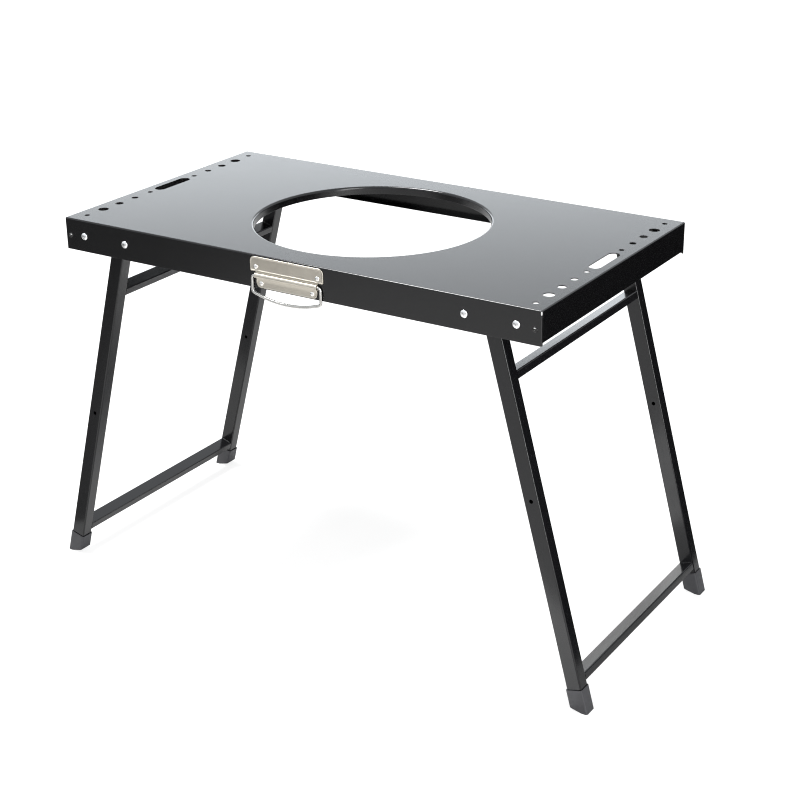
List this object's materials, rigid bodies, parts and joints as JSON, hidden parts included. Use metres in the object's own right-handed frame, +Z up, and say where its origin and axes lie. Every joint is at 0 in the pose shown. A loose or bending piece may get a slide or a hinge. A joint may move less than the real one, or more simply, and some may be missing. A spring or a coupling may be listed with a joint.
{
  "type": "charcoal stove table",
  "caption": "Low folding camp table of black coated steel with a round hole for a charcoal stove, splayed tube leg frames, hand slots and a wire carrying handle.",
  "frame": {"origin": "on the ground under the middle of the outline, handle and screw heads included; the middle of the top is 1.6 mm behind it", "axes": "+X along the long side to the right, -Y to the front, where the carrying handle is, +Z up"},
  "size_m": [0.95, 0.4539, 0.582],
  "materials": {
    "powder_coat": "satin black powder coat",
    "frame_coat": "satin black powder coat on tube",
    "bracket_coat": "satin black powder coat",
    "rivet_coat": "gloss black",
    "chrome": "bright chrome",
    "nickel": "nickel plated",
    "zinc": "zinc plated",
    "cap_plastic": "matt black"
  },
  "bodies": {
    "table": {"table_top": "powder_coat", "handle_plate": "nickel", "corner_rivet_front_left": "rivet_coat", "corner_rivet_front_right": "rivet_coat", "corner_rivet_back_left": "rivet_coat", "corner_rivet_back_right": "rivet_coat", "hinge_bracket_front_left": "bracket_coat", "hinge_bracket_front_right": "bracket_coat", "hinge_bracket_back_left": "bracket_coat", "hinge_bracket_back_right": "bracket_coat", "bracket_screw_front_left_inner": "chrome", "bracket_screw_front_left_outer": "chrome", "bracket_screw_front_right_inner": "chrome", "bracket_screw_front_right_outer": "chrome", "bracket_screw_back_left_inner": "chrome", "bracket_screw_back_left_outer": "chrome", "bracket_screw_back_right_inner": "chrome", "bracket_screw_back_right_outer": "chrome", "pivot_bolt_front_left": "zinc", "pivot_bolt_front_right": "zinc", "pivot_bolt_back_left": "zinc", "pivot_bolt_back_right": "zinc", "leg_washer_front_left": "zinc", "leg_washer_front_right": "zinc", "leg_washer_back_left": "zinc", "leg_washer_back_right": "zinc", "nut_washer_front_left": "zinc", "nut_washer_front_right": "zinc", "nut_washer_back_left": "zinc", "nut_washer_back_right": "zinc", "pivot_nut_front_left": "zinc", "pivot_nut_front_right": "zinc", "pivot_nut_back_left": "zinc", "pivot_nut_back_right": "zinc", "handle_rivet_upper_left": "nickel", "handle_rivet_upper_right": "nickel", "handle_rivet_lower_left": "nickel", "handle_rivet_lower_right": "nickel"},
    "left_frame": {"leg_front_left": "frame_coat", "leg_back_left": "frame_coat", "upper_crossbar_left": "frame_coat", "lower_crossbar_left": "frame_coat", "foot_front_left": "cap_plastic", "foot_back_left": "cap_plastic", "pivot_sleeve_front_left": "zinc", "pivot_sleeve_back_left": "zinc"},
    "right_frame": {"leg_front_right": "frame_coat", "leg_back_right": "frame_coat", "upper_crossbar_right": "frame_coat", "lower_crossbar_right": "frame_coat", "foot_front_right": "cap_plastic", "foot_back_right": "cap_plastic", "pivot_sleeve_front_right": "zinc", "pivot_sleeve_back_right": "zinc"},
    "bail": {"handle_bail": "nickel"}
  },
  "joints": [
    {"name": "left_frame_fold", "type": "hinge", "parent": "table", "child": "left_frame", "pos_m": [-0.30951, 0.0016, 0.5673], "axis": [0, -1, 0], "range_deg": [0, 105]},
    {"name": "right_frame_fold", "type": "hinge", "parent": "table", "child": "right_frame", "pos_m": [0.31618, 0.0016, 0.5424], "axis": [0, 1, 0], "range_deg": [0, 105]},
    {"name": "bail_swing", "type": "hinge", "parent": "table", "child": "bail", "pos_m": [0.004, -0.2233, 0.553], "axis": [-1, 0, 0], "range_deg": [0, 90]}
  ]
}
